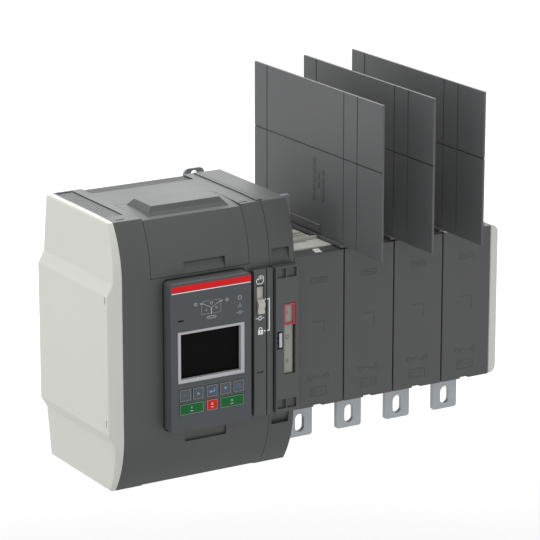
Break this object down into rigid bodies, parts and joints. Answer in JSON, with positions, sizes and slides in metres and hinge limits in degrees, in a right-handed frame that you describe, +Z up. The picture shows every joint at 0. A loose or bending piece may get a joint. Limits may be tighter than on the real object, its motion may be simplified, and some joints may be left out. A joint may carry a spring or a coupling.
{
  "type": "automatic transfer switch",
  "caption": "Panel-mounted automatic transfer switch: a box-shaped controller with a screen and keys beside a row of switch poles with flat terminals and tall phase barriers.",
  "frame": {"origin": "centre of the four mounting holes, on the plane that the back frame bolts to", "axes": "+X to the right seen from the front, along the row of poles; +Y into the mounting panel; +Z up"},
  "size_m": [0.384, 0.2047, 0.3159],
  "materials": {
    "galvanised_steel": "zinc plated sheet, satin",
    "zinc_hardware": "zinc plated, satin",
    "cream_plastic": "light grey moulded thermoplastic, fine texture",
    "dark_plastic": "dark grey moulded thermoplastic, fine spark texture",
    "pole_cover_plastic": "dark grey moulded thermoplastic, fine texture",
    "barrier_plastic": "dark grey moulded sheet, satin",
    "flap_plastic": "dark grey moulded thermoplastic, fine spark texture",
    "grille_plastic": "dark grey grille",
    "inner_plastic": "black moulded plastic",
    "tinned_copper": "tin plated copper bar, satin",
    "contact_copper": "bare copper, silver faced",
    "bushing_bronze": "sintered bronze",
    "rotor_plastic": "glass filled polyester",
    "machined_steel": "ground steel",
    "coil_tape": "amber coil tape",
    "circuit_board": "green solder mask",
    "capacitor_sleeve": "dark heat shrink sleeve",
    "panel_plastic": "blue grey satin panel film",
    "screen_frame": "silver satin",
    "screen_glass": "black display window, semi gloss",
    "key_grey": "blue grey satin key",
    "key_green": "green satin key",
    "key_red": "red satin key",
    "knob_grey": "light grey slider",
    "strip_grey": "grey position strip",
    "indicator_red": "red position frame",
    "clip_white": "white clip"
  },
  "bodies": {
    "switch": {"arc_plates": "machined_steel", "base_frame": "galvanised_steel", "control_board": "circuit_board", "control_housing": "dark_plastic", "cover_clips": "clip_white", "drive_chassis": "galvanised_steel", "drive_housing": "dark_plastic", "drive_panel": "dark_plastic", "end_cap": "cream_plastic", "indicator_strip": "strip_grey", "load_terminals": "tinned_copper", "mechanism_posts": "zinc_hardware", "option_tray": "inner_plastic", "pole_case_1": "cream_plastic", "pole_case_2": "cream_plastic", "pole_case_3": "cream_plastic", "pole_case_4": "cream_plastic", "pole_cover_1": "pole_cover_plastic", "pole_cover_2": "pole_cover_plastic", "pole_cover_3": "pole_cover_plastic", "pole_cover_4": "pole_cover_plastic", "power_board": "circuit_board", "power_capacitors": "capacitor_sleeve", "rear_plate": "dark_plastic", "selector_panel": "dark_plastic", "shaft_bushes": "bushing_bronze", "side_cover": "cream_plastic", "solenoid_coils": "coil_tape", "solenoid_yokes": "zinc_hardware", "source_one_terminal_1": "tinned_copper", "source_one_terminal_2": "tinned_copper", "source_one_terminal_3": "tinned_copper", "source_one_terminal_4": "tinned_copper", "source_two_terminals": "tinned_copper", "tie_rods": "zinc_hardware", "vent_grilles": "grille_plastic"},
    "rotor": {"rotor_shaft": "rotor_plastic", "moving_contacts": "contact_copper", "crank_lever": "machined_steel"},
    "indicator": {"indicator_frame": "indicator_red", "plunger": "machined_steel"},
    "selector": {"selector_knob": "knob_grey"},
    "padlock": {"padlock_bar": "machined_steel"},
    "flap": {"module_flap": "flap_plastic"},
    "panel": {"panel_bezel": "panel_plastic", "display_frame": "screen_frame", "display_glass": "screen_glass", "panel_board": "circuit_board", "panel_rear_case": "inner_plastic"},
    "key_escape": {"key_escape": "key_grey"},
    "key_up": {"key_up": "key_grey"},
    "key_enter": {"key_enter": "key_grey"},
    "key_down": {"key_down": "key_grey"},
    "key_menu": {"key_menu": "key_grey"},
    "key_source_one": {"key_source_one": "key_green"},
    "key_off": {"key_off": "key_red"},
    "key_source_two": {"key_source_two": "key_green"},
    "barrier_1": {"phase_barrier_1": "barrier_plastic"},
    "barrier_2": {"phase_barrier_2": "barrier_plastic"},
    "barrier_3": {"phase_barrier_3": "barrier_plastic"}
  },
  "joints": [
    {"name": "rotor_turn", "type": "hinge", "parent": "switch", "child": "rotor", "pos_m": [0, -0.076, 0], "axis": [1, 0, 0], "range_deg": [0, 70]},
    {"name": "indicator_slide", "type": "slide", "parent": "switch", "child": "indicator", "axis": [0, 0, -1], "range_m": [0, 0.0422]},
    {"name": "selector_slide", "type": "slide", "parent": "switch", "child": "selector", "axis": [0, 0, 1], "range_m": [0, 0.011]},
    {"name": "padlock_pull", "type": "slide", "parent": "switch", "child": "padlock", "axis": [0, -1, 0], "range_m": [0, 0.018]},
    {"name": "flap_hinge", "type": "hinge", "parent": "switch", "child": "flap", "pos_m": [-0.1805, -0.0866, 0.114], "axis": [-1, 0, 0], "range_deg": [0, 75]},
    {"name": "panel_pull", "type": "slide", "parent": "switch", "child": "panel", "axis": [0, -1, 0], "range_m": [0, 0.05]},
    {"name": "key_escape_press", "type": "slide", "parent": "panel", "child": "key_escape", "axis": [0, 1, 0], "range_m": [0, 0.0005], "stiffness_N_per_m": 3000},
    {"name": "key_up_press", "type": "slide", "parent": "panel", "child": "key_up", "axis": [0, 1, 0], "range_m": [0, 0.0005], "stiffness_N_per_m": 3000},
    {"name": "key_enter_press", "type": "slide", "parent": "panel", "child": "key_enter", "axis": [0, 1, 0], "range_m": [0, 0.0005], "stiffness_N_per_m": 3000},
    {"name": "key_down_press", "type": "slide", "parent": "panel", "child": "key_down", "axis": [0, 1, 0], "range_m": [0, 0.0005], "stiffness_N_per_m": 3000},
    {"name": "key_menu_press", "type": "slide", "parent": "panel", "child": "key_menu", "axis": [0, 1, 0], "range_m": [0, 0.0005], "stiffness_N_per_m": 3000},
    {"name": "key_source_one_press", "type": "slide", "parent": "panel", "child": "key_source_one", "axis": [0, 1, 0], "range_m": [0, 0.0005], "stiffness_N_per_m": 3000},
    {"name": "key_off_press", "type": "slide", "parent": "panel", "child": "key_off", "axis": [0, 1, 0], "range_m": [0, 0.0005], "stiffness_N_per_m": 3000},
    {"name": "key_source_two_press", "type": "slide", "parent": "panel", "child": "key_source_two", "axis": [0, 1, 0], "range_m": [0, 0.0005], "stiffness_N_per_m": 3000},
    {"name": "barrier_1_lift", "type": "slide", "parent": "switch", "child": "barrier_1", "axis": [0, 0, 1], "range_m": [0, 0.14]},
    {"name": "barrier_2_lift", "type": "slide", "parent": "switch", "child": "barrier_2", "axis": [0, 0, 1], "range_m": [0, 0.14]},
    {"name": "barrier_3_lift", "type": "slide", "parent": "switch", "child": "barrier_3", "axis": [0, 0, 1], "range_m": [0, 0.14]}
  ],
  "couplings": [
    {"joint": "indicator_slide", "follows": "rotor_turn", "m_per_rad": 0.034377}
  ]
}
